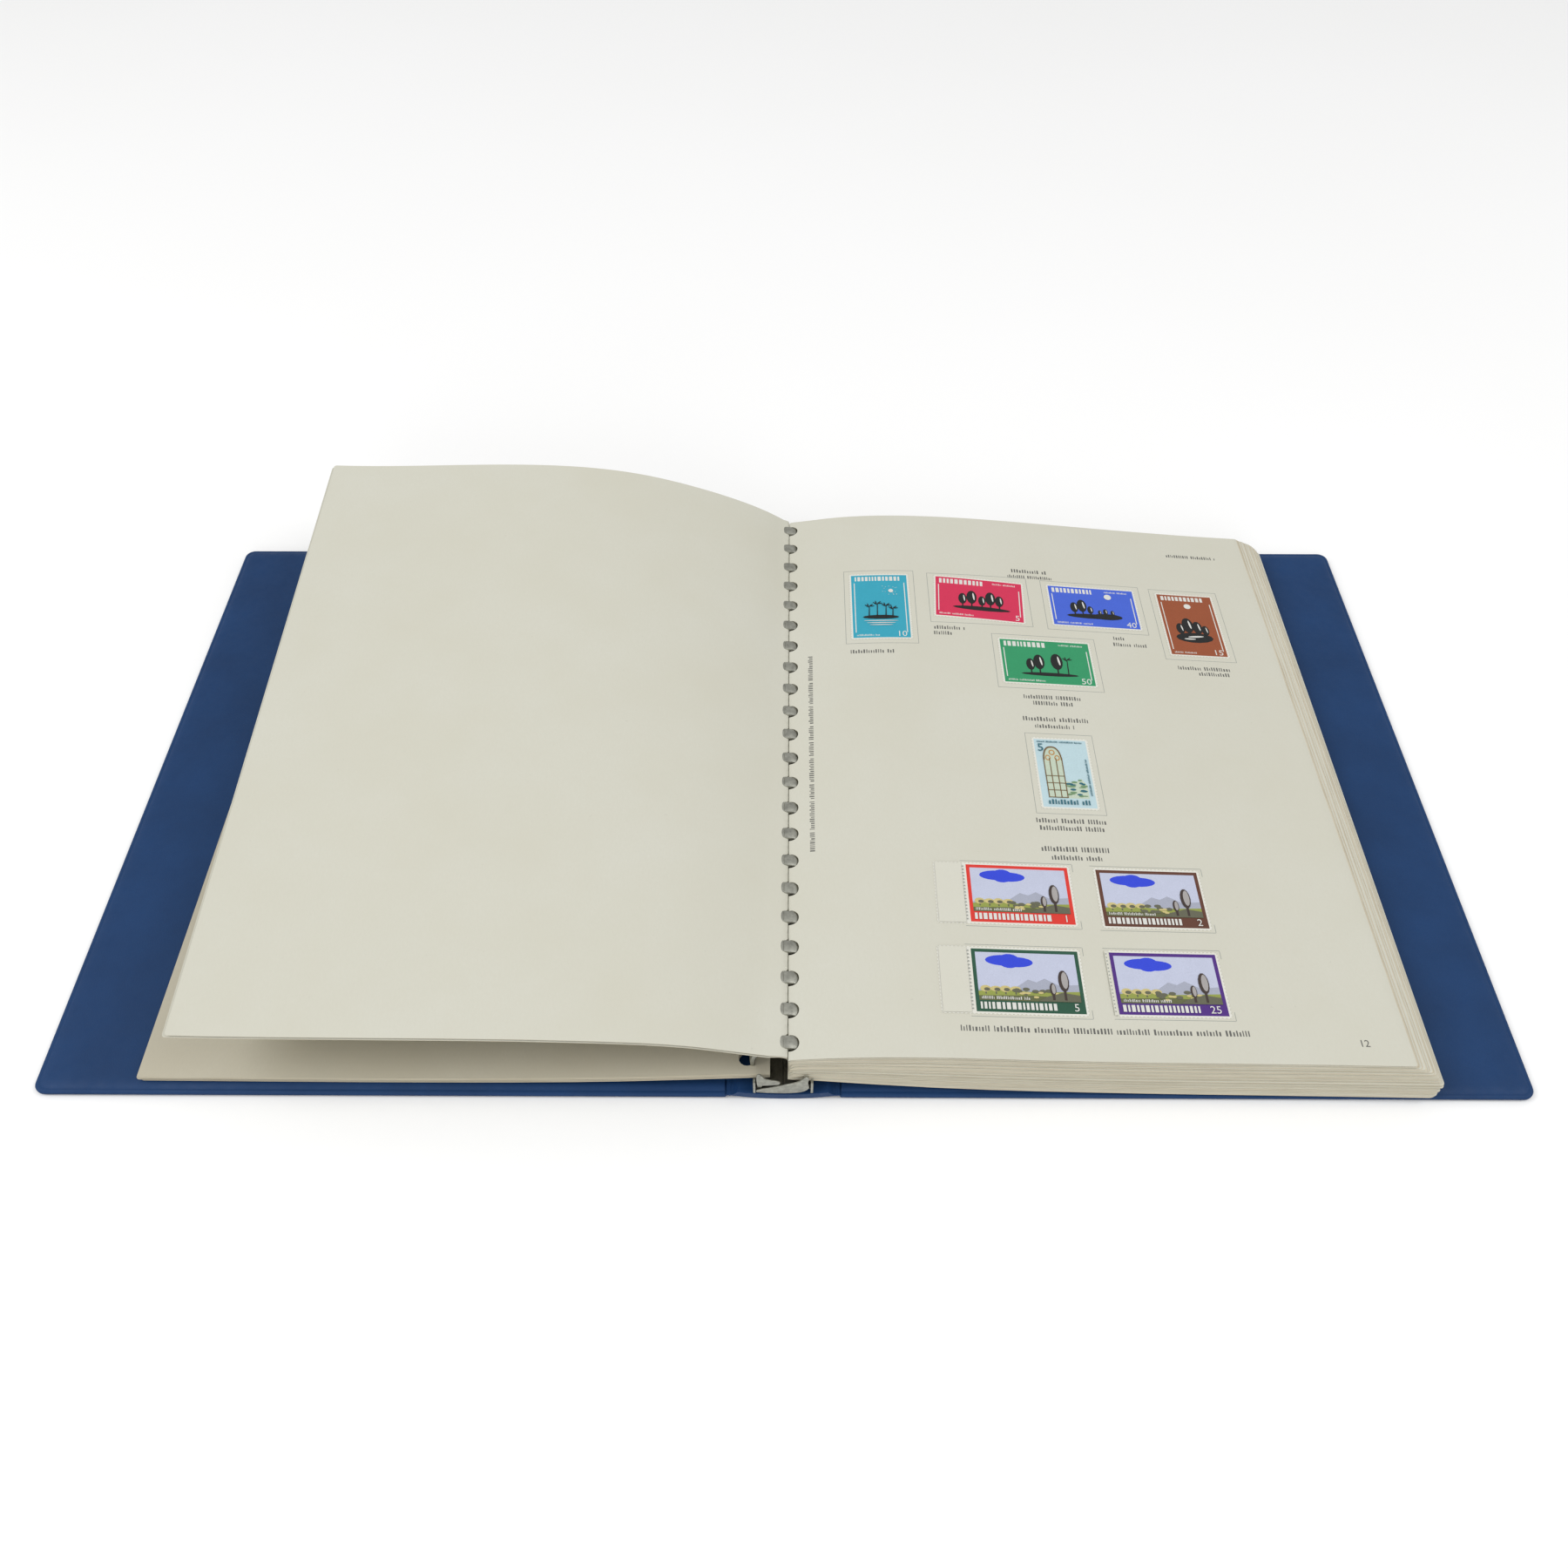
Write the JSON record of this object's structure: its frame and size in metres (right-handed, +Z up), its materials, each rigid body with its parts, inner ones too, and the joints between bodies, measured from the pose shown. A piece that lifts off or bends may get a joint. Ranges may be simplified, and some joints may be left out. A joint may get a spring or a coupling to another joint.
{
  "type": "stamp album",
  "caption": "Ring-bound stamp album lying open: welded vinyl covers hinged to a rounded spine, split-ring mechanism with opening levers, punched leaves and mounted stamps.",
  "frame": {"origin": "centre of the open cover's footprint, on the surface it lies on", "axes": "+X across the open album towards the right cover, +Y along the spine towards its top end, +Z up"},
  "size_m": [0.532, 0.287, 0.0582],
  "materials": {
    "blue_vinyl": "fine grained welded vinyl",
    "board": "grey pressed board",
    "nickel_steel": "satin nickel plate",
    "cream_paper": "smooth cream album leaf",
    "stamp_paper": "printed gummed paper with perforated edges"
  },
  "bodies": {
    "spine": {"spine_skin": "blue_vinyl", "spine_lining": "blue_vinyl", "spine_board": "board", "left_hinge_web": "blue_vinyl", "right_hinge_web": "blue_vinyl", "ring_housing": "nickel_steel", "housing_rivets": "nickel_steel"},
    "left_cover": {"left_cover_skin": "blue_vinyl", "left_cover_lining": "blue_vinyl", "left_cover_board": "board"},
    "right_cover": {"right_cover_skin": "blue_vinyl", "right_cover_lining": "blue_vinyl", "right_cover_board": "board"},
    "left_leaves": {"left_leaves_lower": "cream_paper", "left_leaves_upper": "cream_paper", "lifted_leaf_lower": "cream_paper", "lifted_leaf_upper": "cream_paper"},
    "right_leaves": {"right_leaves_bottom": "cream_paper", "right_leaves_lower": "cream_paper", "right_leaves_upper": "cream_paper", "right_leaves_top": "cream_paper", "page_12_leaf": "cream_paper", "stamp_cyan": "stamp_paper", "stamp_crimson": "stamp_paper", "stamp_blue": "stamp_paper", "stamp_brown": "stamp_paper", "stamp_green": "stamp_paper", "stamp_arched_window": "stamp_paper", "stamp_landscape_red": "stamp_paper", "stamp_landscape_brown": "stamp_paper", "stamp_landscape_green": "stamp_paper", "stamp_landscape_purple": "stamp_paper"},
    "left_ring_arm": {"left_blade": "nickel_steel", "left_ring_halves": "nickel_steel", "front_left_lever": "nickel_steel", "rear_left_lever": "nickel_steel"},
    "right_ring_arm": {"right_blade": "nickel_steel", "right_ring_halves": "nickel_steel", "front_right_lever": "nickel_steel", "rear_right_lever": "nickel_steel"}
  },
  "joints": [
    {"name": "left_cover_hinge", "type": "hinge", "parent": "spine", "child": "left_cover", "pos_m": [-0.01885, 0, 0.0027], "axis": [0, 1, 0], "range_deg": [0, 90], "deforming": ["left_hinge_web"]},
    {"name": "right_cover_hinge", "type": "hinge", "parent": "spine", "child": "right_cover", "pos_m": [0.01885, 0, 0.0027], "axis": [0, -1, 0], "range_deg": [0, 90], "deforming": ["right_hinge_web"]},
    {"name": "left_leaves_turn", "type": "hinge", "parent": "spine", "child": "left_leaves", "pos_m": [-0.00895, -0.0012, 0.01295], "axis": [0, 1, 0], "range_deg": [0, 90], "deforming": ["lifted_leaf_lower", "lifted_leaf_upper"]},
    {"name": "right_leaves_turn", "type": "hinge", "parent": "spine", "child": "right_leaves", "pos_m": [0.00695, -0.0012, 0.01495], "axis": [0, -1, 0], "range_deg": [0, 90]},
    {"name": "left_ring_opening", "type": "hinge", "parent": "spine", "child": "left_ring_arm", "pos_m": [-0.0094, -0.0012, 0.0071], "axis": [0, -1, 0], "range_deg": [0, 9]},
    {"name": "right_ring_opening", "type": "hinge", "parent": "spine", "child": "right_ring_arm", "pos_m": [0.0094, -0.0012, 0.0071], "axis": [0, 1, 0], "range_deg": [0, 9]}
  ],
  "couplings": [
    {"joint": "left_leaves_turn", "follows": "left_cover_hinge", "ratio": 1},
    {"joint": "right_leaves_turn", "follows": "right_cover_hinge", "ratio": 1},
    {"joint": "right_ring_opening", "follows": "left_ring_opening", "ratio": 1}
  ]
}
